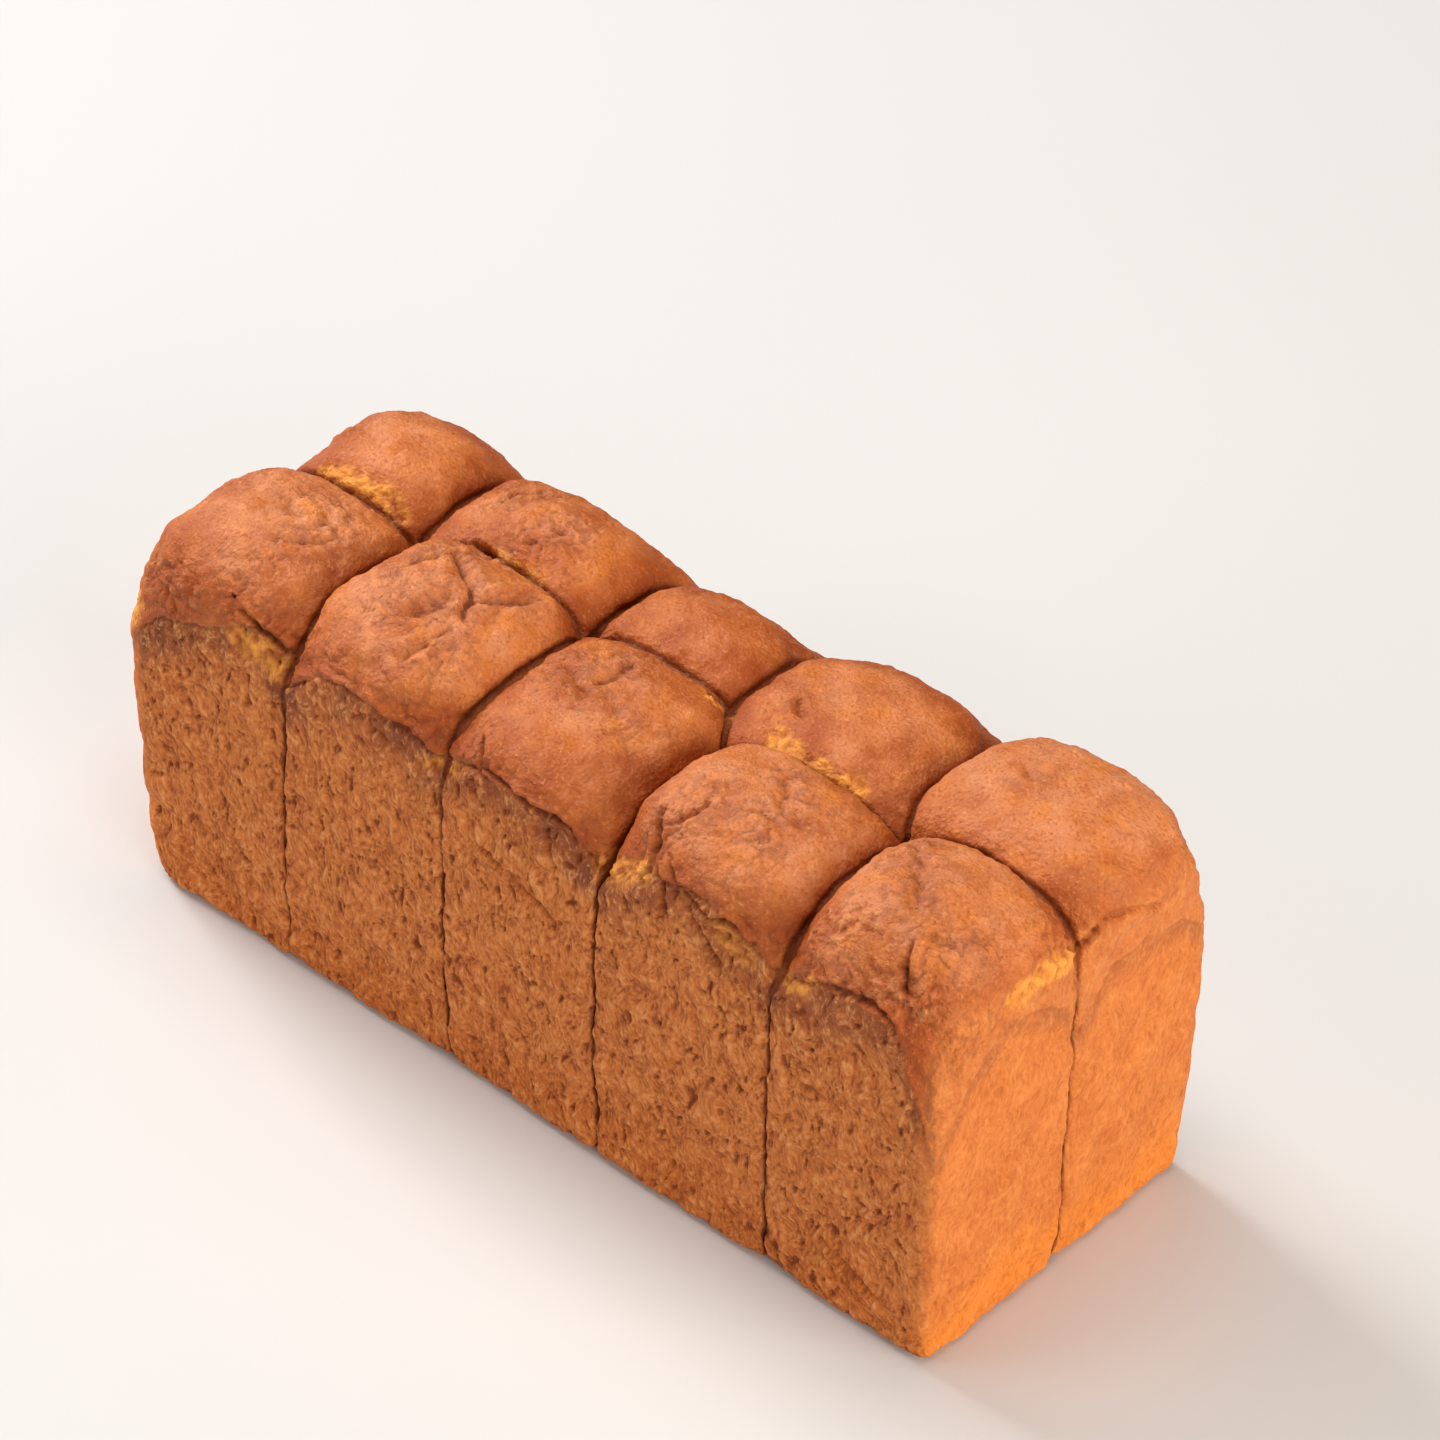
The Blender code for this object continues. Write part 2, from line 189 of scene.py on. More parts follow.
# Torn and stretched spots: radius, how golden they are, then the places along them, in millimetres
TEARS = [
    (4.0, 1.0, [(-124, 1, 119), (-116, 3, 120), (-110, 4, 120), (-103, 5, 120), (-97, 4, 118)]),
    (3.6, 1.0, [(41, 2, 121), (46, 1, 121), (57, 0, 120), (63, 1, 120), (69, 2, 120)]),
    (3.0, 0.7, [(-62, 5, 123), (-54, 5, 123), (-47, 4, 121)]),
    (2.6, 0.8, [(14, 5, 118), (19, 4, 116)]),
    (4.0, 0.7, [(-101, -54, 110), (-93, -54, 108), (-86, -53, 105)]),
    (3.0, 0.8, [(-29, -53, 107), (-22, -54, 109)]),
    (4.5, 0.7, [(31, -52, 106), (38, -53, 110), (44, -53, 114)]),
    (4.0, 0.6, [(72, -54, 110), (80, -53, 107)]),
    (3.2, 0.8, [(93, -54, 106), (100, -54, 110)]),
    (6.5, 0.0, [(119, -50, 122), (126, -50, 124), (134, -49, 119)]),
    (5.0, 0.0, [(100, -44, 121), (106, -44, 125), (112, -42, 129)]),
    (3.5, 1.0, [(144, -24, 113), (144, -14, 113), (143, -4, 112)]),
    (3.6, 1.0, [(-141, -51, 94), (-140, -52, 100)]),
    (5.0, 0.0, [(-136, -50, 108), (-128, -50, 112), (-118, -51, 114)]),
]

# Lines of creases and tears: the step between their points, how far and how finely they wander and from
# what seed, how they taper toward their ends, and how far off the skin they may lie before it counts
LINE_STEP = 0.8 * MM
LINE_WANDER = 0.7 * MM
LINE_WANDER_SIZE = 4.0 * MM
LINE_SEED = 7
TAPER_RUN = 3.5
TAPER_POWER = 0.7
TAPER_WIDTH = 0.5
LINE_OFF_SKIN = 5.0 * MM

# A crease's section, in shares of its width: the trough's spread, and the place, spread and height of the
# folds beside it. Then the crack along its bottom and the lips of the crack.
CREASE_STRENGTH = 1.7
TROUGH_SPREAD = 0.75
FOLD_PLACE = 1.3
FOLD_SPREAD = 0.45
FOLD_HEIGHT = 0.40
CRACK_HALF_WIDTH = 0.65 * MM
CRACK_LIP_PLACE = 1.6 * MM
CRACK_LIP_SPREAD = 0.6 * MM
CRACK_LIP_HEIGHT = 0.30

# A torn spot: where it fades out and is full, in shares of its radius, the level of its crumb, its height,
# then the levels between which pits give way to crumb, and crumb to crust
TORN_EDGE = (1.3, 0.4)
TORN_LEVEL = 0.3
TORN_HEIGHT = 1.625 * MM
TORN_PITS = (-0.35, 0.15)
TORN_CRUST = (0.05, 0.45)

# Clefts where two rolls touch: where wall turns to crown, their width and depth, how widely the crust
#  turns in toward them, and how wide and from what height painted shade darkens them
TOUCH_TO_CROWN = (98.0 * MM, 114.0 * MM)
CLEFT_HALF_WIDTH = 1.1 * MM
CLEFT_ON_WALL = 0.20 * MM
CLEFT_IN_CROWN = 1.2 * MM
TURN_IN_WIDTH = 5.0 * MM
TURN_IN_DEPTH = 0.3 * MM
CLEFT_SHADE_WIDTHS = (0.75, 1.4)
CLEFT_SHADE_HEIGHTS = (90.0 * MM, 112.0 * MM)

# Where a side faces the tin or a seam, in shares of the roll's half width, how the end's lip takes over
# from the long wall's at a corner, and from where to where along X the end face starts
FACING_TIN = (0.86, 0.96)
FACING_SEAM = (0.0, 0.5)
CORNER_POWER = 8.0
END_FACE = (BASE_HALF_LENGTH - 5.0 * MM, BASE_HALF_LENGTH + 1.0 * MM)

# The foot: up to what height the skin keeps its level, and how far up the edge is frayed
OFF_BASE = (0.5 * MM, 5.0 * MM)
FOOT_EDGE = (6.0 * MM, 1.0 * MM)

# The lip's section: how far over the lip's line each part is, its spread, and how far out it stands, in
# millimetres. The blur is the width over which wall turns into crown, on the long walls and on the ends.
LIP_SECTION = {"overhang": (1.5, 1.4, 0.9), "slit": (-0.5, 0.65, -0.9), "recess": (-3.5, 3.5, -0.45)}
LIP_BLUR = (1.0, 4.0)

# The ends are calmer than the long walls: how much of each thing they keep
LIP_ON_END = 0.5
CRUMB_ON_END = 0.4
STAIN_ON_END = 0.55
CLEFT_ON_END = 0.7
GRAIN_ON_END = 0.45

# Waves that the crust is made of: lump size in millimetres, detail, seed, and height of a lump in widths
WAVES = {
    "swell": (21.0, 1.5, 0.0, 1.0),
    "lumps": (9.0, 2.0, 17.0, 1.0),
    "dimples": (3.6, 1.0, 23.0, 1.0),
    "puckers": (5.0, 1.0, 24.0, 1.0),
    "skin": (1.8, 2.0, 31.0, 1.0),
    "creping": (22.0, 1.0, 29.0, 1.0),
    "fibre": (2.0, 2.0, 43.0, 2.0),
    "drift": (6.0, 3.0, 47.0, 1.6),
    "pores": (2.4, 2.0, 71.0, 1.9),
    "foot": (3.5, 3.0, 81.0, 1.0),
    "lip_waves": (9.0, 2.0, 3.0, 1.0),
    "lip_nicks": (2.6, 1.0, 7.0, 1.0),
    "lip_runs": (12.0, 1.0, 11.0, 1.0),
    "crack_runs": (3.5, 2.0, 61.0, 1.0),
    "crumb": (3.0, 3.0, 37.0, 1.0),
    "stain": (4.5, 3.0, 53.0, 2.4),
    "scorch": (20.0, 1.0, 57.0, 1.0),
    "low": (22.0, 3.0, 33.0, 1.0),
    "dust_and_sheen": (11.0, 4.0, 4.0, 1.0),
    "browning_and_flank_shade": (12.0, 4.0, 2.0, 1.0),
    "mauve": (6.0, 3.0, 91.0, 1.0),
    "honey": (7.0, 3.0, 92.0, 1.0),
    "ruddy": (10.0, 4.0, 8.0, 1.0),
    "fine_fibre": (1.0, 3.0, 25.0, 1.7),
    "fine_skin": (1.0, 3.0, 26.0, 1.0),
}

# Heights of the waves that stand up evenly, in millimetres
WAVE_HEIGHTS = {"swell": 1.2, "lumps": 1.4, "skin": 0.34, "lip_waves": 2.2, "lip_nicks": 0.7, "foot": 1.3}

# Waves that come out as patches: the levels at which a patch starts and is full
PATCHES = {
    "creping": (-0.3, 0.3), "pores": (0.21, 0.43), "lip_runs": (-0.5, 0.4), "crack_runs": (-0.6, 0.3),
    "stain": (-0.40, 0.05), "scorch": (-0.25, 0.25), "mauve": (-0.15, 0.3), "honey": (0.0, 0.4),
    "ruddy": (-0.2, 0.6),
}

# How a place wanders before a pattern is read there: size, reach and seed of each pass, in millimetres
WANDERS = {
    "crease": ((8.0, 1.4, 0.0), (2.2, 0.5, 3.0)),
    "tear": ((6.0, 3.0, 5.0), (2.0, 0.7, 6.0)),
    "fibre": ((14.0, 4.0, 9.0), (2.5, 0.5, 4.0)),
    "dimples": ((5.0, 1.2, 2.0),),
    "puckers": ((9.0, 3.0, 2.0),),
    "seam": ((26.0, 1.3, 13.0),),
    "fine_seam": ((9.0, 0.9, 19.0),),
}
SEAM_WANDER_SHARE = (1.0, 0.6, 0.0)

# Crown's skin: how much creping there is in patches and beside a crease, from what height, and how high
# the dimples are on smooth and on creped skin
NEAR_CREASE = 8.0 * MM
CREPING_SHARE = 0.45
CREPING_BY_CREASE = 0.75
CREPING_HEIGHTS = (98.0 * MM, 112.0 * MM)
DIMPLE_HEIGHTS = (0.15, 1.1)
WRINKLE_SPREAD = 0.10
WRINKLE_DEPTH = 0.6 * MM

# Wall's skin: height of its fibres, of its drift on the long walls and on the ends, and depth of its pores
FIBRE_HEIGHT = 0.85 * MM
DRIFT_HEIGHTS = (1.2, 0.5)
PORE_DEPTH = 0.9 * MM
DRIFT_IN_RIDGE = 0.6

# Colour marks: the stain's reach under the lip where the wall is pale, scorched, or an end's, and where
# along its reach it is full, then heights and shares of the others
STAIN_REACHES = (17.0, 28.0, 10.0)
STAIN_FULL = 0.2
STAIN_PATCHINESS = 0.2
STAIN_IF_PALE = 0.7
# Painted shade: how strongly a pore, and a wrinkle on a crown, is darkened
SHADE_IN_PORES = 0.5
SHADE_IN_WRINKLES = 0.6
# The crown's flank, from where it starts to where it is full: painted shade deepens the browning there, and
# the pale specks thin out
FLANK_HEIGHTS = (131.0 * MM, 112.0 * MM)
LOW_HEIGHTS = (34.0 * MM, 8.0 * MM)
LOW_RAGGED = 20.0 * MM
# Pale pink patches on the crowns' tops: partly a dusty tone, partly painted sheen, which grows stronger
# toward the left end where the key lamp stands
DUST_AND_SHEEN_LEVELS = (-0.35, 0.3)
SHEEN_TOWARD_LEFT_END = (-60.0 * MM, -130.0 * MM)
SHEEN_TOWARD_LEFT_SHARE = 0.25
BROWNING_GAIN = 1.3
MAUVE_EVERYWHERE = 0.15

# Colours of the crust, as linear red, green and blue: its baked colours, and some that are painted light,
# shade, sheen and glow
CROWN_BROWN = (0.62, 0.168, 0.030)
# Deep brown: random browning and dark specks, and also painted shade on the crowns' lower flanks and in the
# pits of torn crumb
CROWN_DEEP = (0.38, 0.066, 0.006)
# Dusty pink: partly the crust's tone, partly painted sheen on the crowns' tops
CROWN_DUSTY_SHEEN = (0.77, 0.285, 0.124)
CROWN_MAUVE = (0.41, 0.112, 0.046)
CROWN_HONEY = (0.74, 0.225, 0.034)
CROWN_PALE = (0.84, 0.36, 0.13)
WALL_TAN = (0.67, 0.200, 0.042)
# Painted light on the ridges of the walls' relief, and painted shade in its hollows
WALL_RIDGE_LIGHT = (0.86, 0.37, 0.115)
WALL_SHADE = (0.31, 0.064, 0.012)
WALL_RED = (0.54, 0.125, 0.020)
WALL_FIERY = (0.64, 0.155, 0.018)
# Painted glow: a brighter amber at the foot of the end faces
END_GLOW_AMBER = (0.86, 0.255, 0.024)
STAIN_BROWN = (0.20, 0.050, 0.026)
TEAR_GOLD = (0.98, 0.39, 0.056)
# Dark brown of painted shade in pores, cracks, wrinkles, the slit under the lip, and the clefts between
# rolls
HOLLOW_SHADE_BROWN = (0.17, 0.035, 0.009)

# Layers of colour, laid one over the other: the mark that says where, the colour, and its strength
CROWN_LAYERS = (
    ("dust_and_sheen", CROWN_DUSTY_SHEEN, 0.9), ("honey", CROWN_HONEY, 0.7),
    ("mauve", CROWN_MAUVE, 0.6), ("browning_and_flank_shade", CROWN_DEEP, 0.9),
)
# Torn spots: painted shade in the crumb's pits, paler crumb on its peaks, and golden crumb
TEAR_LAYERS = (("torn_pit_shade", CROWN_DEEP, 0.75), ("crusty", CROWN_PALE, 0.5), ("golden", TEAR_GOLD, 0.9))
RUDDY_SHARE = 0.7
LOW_SHARE = 0.65
STAIN_SHARE = 0.9
# How strongly painted shade darkens pores, cracks, wrinkles, slits and clefts
PAINTED_SHADE_SHARE = 0.75

# Specks in the crust: the levels of the grain at which they start and are full, and their strength. The
# pale ones on a crown fade from its top to its flank.
PALE_SPECKS = (0.16, 0.55)
PALE_SPECKS_SHARE = (0.75, 0.4)
DARK_SPECKS = (-0.06, -0.50)
DARK_SPECKS_SHARE = 0.7
# On the walls, by the relief and fine fibre rather than the grain: painted shade in the hollows and painted
# light on the ridges
WALL_HOLLOW_SHADES = (-0.02, -0.55)
WALL_HOLLOW_SHADES_SHARE = 0.85
WALL_RIDGE_LIGHTS = (0.05, 0.65)
WALL_RIDGE_LIGHTS_SHARE = 0.80
RIDGE_SHARE = 0.8
FINE_FIBRE_SHARE = 1.1
END_OVER_FLANK = (0.45, 1.0)

# Gloss and fine grain of the crust, with the grain's heights in millimetres
CROWN_ROUGHNESS = 0.56
WALL_ROUGHNESS = 0.80
ROUGHNESS_GRAIN = 0.06
CRUST_SPECULAR = 0.3
CROWN_GRAIN = 0.36
TORN_GRAIN = 0.5
WALL_GRAIN = 0.62

# The floor
FLOOR_HALF_SIZE = 4.0
FLOOR_LIGHT = (0.705, 0.698, 0.69)
FLOOR_SHADE = (0.695, 0.686, 0.677)
FLOOR_PATCH_SIZE = 0.3
FLOOR_PATCHES = (-0.5, 0.5)
FLOOR_ROUGHNESS = 0.7


class Field:
    """A value in a node tree. Plain arithmetic on it adds the tree's Math nodes."""

    def __init__(self, tree, socket):
        self.tree = tree
        self.socket = socket

    def __add__(self, other):
        return calc(self.tree, "ADD", self, other)

    def __radd__(self, other):
        return calc(self.tree, "ADD", other, self)

    def __sub__(self, other):
        return calc(self.tree, "SUBTRACT", self, other)

    def __rsub__(self, other):
        return calc(self.tree, "SUBTRACT", other, self)

    def __mul__(self, other):
        return calc(self.tree, "MULTIPLY", self, other)

    def __rmul__(self, other):
        return calc(self.tree, "MULTIPLY", other, self)

    def __truediv__(self, other):
        return calc(self.tree, "DIVIDE", self, other)

    def __rtruediv__(self, other):
        return calc(self.tree, "DIVIDE", other, self)

    def __pow__(self, other):
        return calc(self.tree, "POWER", self, other)

    def __neg__(self):
        return calc(self.tree, "MULTIPLY", self, -1.0)

    def __abs__(self):
        return calc(self.tree, "ABSOLUTE", self)


def feed(tree, slot, value):
    """Links a field to a node's input, or sets the input to a plain value."""
    if isinstance(value, Field):
        tree.links.new(value.socket, slot)
    else:
        slot.default_value = value


def calc(tree, operation, *values):
    node = tree.nodes.new("ShaderNodeMath")
    node.operation = operation
    for slot, value in zip(node.inputs, values):
        feed(tree, slot, value)
    return Field(tree, node.outputs[0])


def calc_vector(tree, operation, *values):
    """A Vector Math node. A length or a dot product comes out of its second socket."""
    node = tree.nodes.new("ShaderNodeVectorMath")
    node.operation = operation
    for slot, value in zip(node.inputs, values):
        feed(tree, slot, value)
    return Field(tree, node.outputs[1 if operation in ("LENGTH", "DOT_PRODUCT", "DISTANCE") else 0])


def scale_vector(vector, factor):
    node = vector.tree.nodes.new("ShaderNodeVectorMath")
    node.operation = "SCALE"
    feed(vector.tree, node.inputs[0], vector)
    feed(vector.tree, node.inputs["Scale"], factor)
    return Field(vector.tree, node.outputs[0])


def split(vector):
    node = vector.tree.nodes.new("ShaderNodeSeparateXYZ")
    feed(vector.tree, node.inputs[0], vector)
    return [Field(vector.tree, socket) for socket in node.outputs]


def join(tree, x, y, z):
    node = tree.nodes.new("ShaderNodeCombineXYZ")
    for slot, value in zip(node.inputs, (x, y, z)):
        feed(tree, slot, value)
    return Field(tree, node.outputs[0])


def mix(start, end, share):
    return start + (end - start) * share


def largest(first, second):
    return calc((first if isinstance(first, Field) else second).tree, "MAXIMUM", first, second)


def smallest(first, second):
    return calc((first if isinstance(first, Field) else second).tree, "MINIMUM", first, second)


def ramp(value, low, high, smooth=False):
    """0 where the value is at low, 1 where it is at high, and held beyond them."""
    node = value.tree.nodes.new("ShaderNodeMapRange")
    node.interpolation_type = "SMOOTHSTEP" if smooth else "LINEAR"
    feed(value.tree, node.inputs["Value"], value)
    feed(value.tree, node.inputs["From Min"], low)
    feed(value.tree, node.inputs["From Max"], high)
    return Field(value.tree, node.outputs["Result"])


def hump(value, centre, spread):
    """1 at the centre, falling evenly on both sides of it."""
    away = (value - centre) / spread
    return calc(value.tree, "EXPONENT", -(away * away))


def grain(place, size, detail, seed=0.0, tall=1.0):
    """Noise from about -1 to 1. Its lumps are of this size in metres, and tall times that upward."""
    tree = place.tree
    scale = (1.0 / size, 1.0 / size, 1.0 / (size * tall))
    node = tree.nodes.new("ShaderNodeTexNoise")
    feed(tree, node.inputs["Vector"], calc_vector(tree, "MULTIPLY_ADD", place, scale, (seed,) * 3))
    node.inputs["Scale"].default_value = 1.0
    node.inputs["Detail"].default_value = detail
    return (Field(tree, node.outputs[0]) - 0.5) * 2.0


def wave(place, name):
    """The named wave, from about -1 to 1."""
    size, detail, seed, tall = WAVES[name]
    return grain(place, size * MM, detail, seed, tall)


def raised(place, name):
    """The named wave as a height."""
    return wave(place, name) * WAVE_HEIGHTS[name] * MM


def patchy(place, name):
    """The named wave as patches: 0 between them and 1 in them."""
    return ramp(wave(place, name), *PATCHES[name])


def wander(place, size, reach, seed):
    """The place, shifted by up to about reach in every direction by noise of this size."""
    tree = place.tree
    node = tree.nodes.new("ShaderNodeTexNoise")
    feed(tree, node.inputs["Vector"], calc_vector(tree, "ADD", place, (seed * size,) * 3))
    node.inputs["Scale"].default_value = 1.0 / size
    node.inputs["Detail"].default_value = 1.0
    shift = calc_vector(tree, "SUBTRACT", Field(tree, node.outputs[1]), (0.5, 0.5, 0.5))
    return calc_vector(tree, "ADD", place, scale_vector(shift, 2.0 * reach))


def wandered(place, name):
    """The place after the named passes of wander."""
    for size, reach, seed in WANDERS[name]:
        place = wander(place, size * MM, reach * MM, seed)
    return place


def stored(tree, name):
    """A value that an earlier step wrote on the mesh."""
    node = tree.nodes.new("GeometryNodeInputNamedAttribute")
    node.data_type = "FLOAT"
    node.inputs["Name"].default_value = name
    return Field(tree, node.outputs[0])


def store(tree, geometry, name, value, kind="FLOAT"):
    node = tree.nodes.new("GeometryNodeStoreNamedAttribute")
    node.data_type = kind
    node.domain = "POINT"
    feed(tree, node.inputs["Geometry"], geometry)
    node.inputs["Name"].default_value = name
    feed(tree, node.inputs["Value"], value)
    return Field(tree, node.outputs[0])


def plain_node(tree, kind):
    return Field(tree, tree.nodes.new(kind).outputs[0])


def sampled(tree, geometry, value, index, kind="FLOAT"):
    node = tree.nodes.new("GeometryNodeSampleIndex")
    node.data_type = kind
    feed(tree, node.inputs["Geometry"], geometry)
    feed(tree, node.inputs["Value"], value)
    feed(tree, node.inputs["Index"], index)
    return Field(tree, node.outputs[0])


def bend_block(tree, size, across, up):
    """Bends a fine block into the roll's form, and writes on it the direction and height of each point."""
    block = tree.nodes.new("GeometryNodeMeshCube")
    block.inputs["Size"].default_value = (2.0, 2.0, 2.0)
    for axis, rows in (("X", across), ("Y", across), ("Z", up)):
        feed(tree, block.inputs[f"Vertices {axis}"], rows)
    x, y, z = split(plain_node(tree, "GeometryNodeInputPosition"))
    reach = largest(largest(abs(x), abs(y)), TINY)
    u = x / reach
    v = y / reach
    down = ((1.0 - z) / 2.0) ** ROW_CROWDING
    on_base = ramp(z, *BASE_ROW)
    rise_power = 2.0 / size["Fullness"]
    crown_rise = size["Top"] - RIM_HEIGHT
    cap_height = RIM_HEIGHT + crown_rise * calc(tree, "COSINE", reach * CAP_ANGLE) ** rise_power
    height = cap_height * (1.0 - down)

    climb_in = smallest(height, RIM_HEIGHT) / RIM_HEIGHT
    below = largest(1.0 - height / SPREAD_HEIGHT, 0.0)
    climb_out = 1.0 - below * below
    lift = ramp(height, SHOULDER_HEIGHT, CROWN_FOOT_HEIGHT) ** SHOULDER_SHAPE
    edges = []
    for side in SIDES:
        climb = mix(climb_in, climb_out, size[f"{side} On Tin"])
        in_cell = mix(size[f"{side} At Base"], size[f"{side} At Rim"], climb)
        edges.append(mix(in_cell, size[f"{side} In Crown"], lift))
    left, right, near, far = edges

    inward = (1.0 + v * (1.0 - 2.0 * size["Back Row"])) / 2.0
    foot_roundness = mix(OUTER_ROUNDNESS, INNER_ROUNDNESS, inward)
    on_wall = facing(size, v, LONG_SIDES, FACING_SEAM) * facing(size, u, END_SIDES, FACING_SEAM, False)
    on_end = facing(size, u, END_SIDES, FACING_SEAM) * facing(size, v, LONG_SIDES, FACING_SEAM, False)
    at_seam = smallest(on_wall + on_end, 1.0)
    cell_roundness = mix(EDGE_ROUNDNESS, SEAM_ROUNDNESS, at_seam)
    rounding = mix(lift, ramp(height, SEAM_SHOULDER_HEIGHT, SEAM_FOOT_HEIGHT), at_seam)
    roundness = 1.0 / mix(1.0 / cell_roundness, 1.0 / foot_roundness, rounding)
    rise = ramp(height, RIM_HEIGHT, size["Top"])
    roundness = mix(roundness, TOP_ROUNDNESS, rise)
    draw = largest(1.0 - rise ** size["Fullness"], 0.0) ** (1.0 / size["Fullness"])
    draw = draw / (abs(u) ** roundness + abs(v) ** roundness) ** (1.0 / roundness)
    draw = draw * mix(1.0, reach, on_base)
    drop = largest(BASE_EDGE_RADIUS - height, 0.0)
    inset = BASE_EDGE_RADIUS - calc(tree, "SQRT", BASE_EDGE_RADIUS**2 - drop * drop)
    place_x = (left + right) / 2.0 + ((right - left) / 2.0 - inset) * draw * u
    place_y = (near + far) / 2.0 + ((far - near) / 2.0 - inset) * draw * v

    rolled = Field(tree, block.outputs["Mesh"])
    values = {"across": u, "along": v, "height": height, "new_x": place_x, "new_y": place_y}
    for name, value in values.items():
        rolled = store(tree, rolled, name, value)
    return move_to(tree, rolled, join(tree, *(stored(tree, name) for name in ("new_x", "new_y", "height"))))


def move_to(tree, geometry, place):
    node = tree.nodes.new("GeometryNodeSetPosition")
    feed(tree, node.inputs["Geometry"], geometry)
    feed(tree, node.inputs["Position"], place)
    return Field(tree, node.outputs[0])


def nearest_line(tree, lines, place, normal, names):
    """What the nearest crease or tear carries, and how far off it is along the surface."""
    node = tree.nodes.new("GeometryNodeSampleNearest")
    feed(tree, node.inputs["Geometry"], lines)
    feed(tree, node.inputs["Sample Position"], place)
    index = Field(tree, node.outputs[0])
    position = plain_node(tree, "GeometryNodeInputPosition")
    apart = calc_vector(tree, "SUBTRACT", place, sampled(tree, lines, position, index, "FLOAT_VECTOR"))
    over = calc_vector(tree, "DOT_PRODUCT", apart, normal)
    flat = calc_vector(tree, "SUBTRACT", apart, scale_vector(normal, over))
    off = calc_vector(tree, "LENGTH", flat) + largest(abs(over) - LINE_OFF_SKIN, 0.0)
    return {name: sampled(tree, lines, stored(tree, name), index) for name in names}, off


def gap_to(tree, around, place):
    """How far a place is from the nearest face around, which is a neighbouring roll's."""
    node = tree.nodes.new("GeometryNodeProximity")
    node.target_element = "FACES"
    feed(tree, node.inputs[0], around)
    feed(tree, node.inputs["Sample Position"], place)
    return Field(tree, node.outputs["Distance"])


def only(tree, geometry, chosen):
    """The part of the geometry where the chosen value is over a half."""
    node = tree.nodes.new("GeometryNodeSeparateGeometry")
    feed(tree, node.inputs["Geometry"], geometry)
    feed(tree, node.inputs["Selection"], calc(tree, "GREATER_THAN", chosen, 0.5))
    return Field(tree, node.outputs[0])


def lip_line(size, wall, along):
    """Height of the lip over one wall, eased through its five heights."""
    heights = [size[f"{wall} Lip {at}"] for at in LIP_PLACES]
    line = heights[0]
    for step, (low, high) in enumerate(zip(heights, heights[1:])):
        line = line + (high - low) * ramp(along, step / 2.0 - 1.0, step / 2.0 - 0.5)
    return line


def facing(size, value, sides, turn, on_tin=True):
    """1 toward a side that leans on the tin, or with on_tin False toward one that meets a neighbour."""
    shares = []
    for side, way in zip(sides, (-1.0, 1.0)):
        flag = size[f"{side} On Tin"]
        shares.append((flag if on_tin else 1.0 - flag) * ramp(value * way, *turn))
    return shares[0] + shares[1]


def lip_and_wall(size, form, over, end_face):
    """Where the wall is, how far a place is over the lip's line, the lip's relief, and its open slit."""
    u, v, height = over
    long_wall = facing(size, v, LONG_SIDES, FACING_TIN)
    end_wall = facing(size, u, END_SIDES, FACING_TIN)
    outer = largest(long_wall, end_wall)
    end_share = (1.0 + abs(u) ** CORNER_POWER - abs(v) ** CORNER_POWER) / 2.0
    lip_height = mix(lip_line(size, "Long", u), lip_line(size, "End", v), end_share * end_wall)
    over_lip = height - lip_height + (raised(form, "lip_waves") + raised(form, "lip_nicks"))
    blur = mix(*LIP_BLUR, end_face) * MM
    wall = ramp(over_lip, blur, -blur, smooth=True) * outer
    strength = patchy(form, "lip_runs") * outer * mix(1.0, LIP_ON_END, end_face)
    section = LIP_SECTION.items()
    parts = {name: hump(over_lip, place * MM, spread * MM) for name, (place, spread, _) in section}
    lip = sum(parts[name] * out * MM for name, (_, _, out) in section) * strength
    return wall, over_lip, lip, parts["slit"] * strength


def crease_relief(tree, around, form, normal):
    """The height of the creases, how open their cracks are, and how far off the nearest crease is."""
    creases = only(tree, around, stored(tree, "is_crease"))
    crease, off = nearest_line(tree, creases, wandered(form, "crease"), normal, ("depth", "width", "crack"))
    share = off / crease["width"]
    trough = hump(share, 0.0, TROUGH_SPREAD)
    folds = hump(share, FOLD_PLACE, FOLD_SPREAD) * FOLD_HEIGHT
    open_crack = crease["crack"] * patchy(form, "crack_runs")
    crack = hump(off, 0.0, CRACK_HALF_WIDTH) * open_crack
    lips = hump(off, CRACK_LIP_PLACE, CRACK_LIP_SPREAD) * open_crack * CRACK_LIP_HEIGHT
    return (folds - trough) * crease["depth"] + lips - crack, crack, off


def tear_marks(tree, around, form, normal):
    """Where the crust is torn, how golden the nearest tear is, and the crumb that shows in it."""
    tears = only(tree, around, stored(tree, "is_tear"))
    tear, off = nearest_line(tree, tears, wandered(form, "tear"), normal, ("width", "golden"))
    return ramp(off / tear["width"], *TORN_EDGE, smooth=True), tear["golden"], wave(form, "crumb")


def cleft_relief(contact, height):
    """How deep the crust turns in toward a neighbouring roll: a narrow cleft, and a wide rounding."""
    in_crown = ramp(height, *TOUCH_TO_CROWN)
    cleft = hump(contact, 0.0, CLEFT_HALF_WIDTH) * mix(CLEFT_ON_WALL, CLEFT_IN_CROWN, in_crown)
    return cleft + hump(contact, 0.0, TURN_IN_WIDTH) * in_crown * TURN_IN_DEPTH


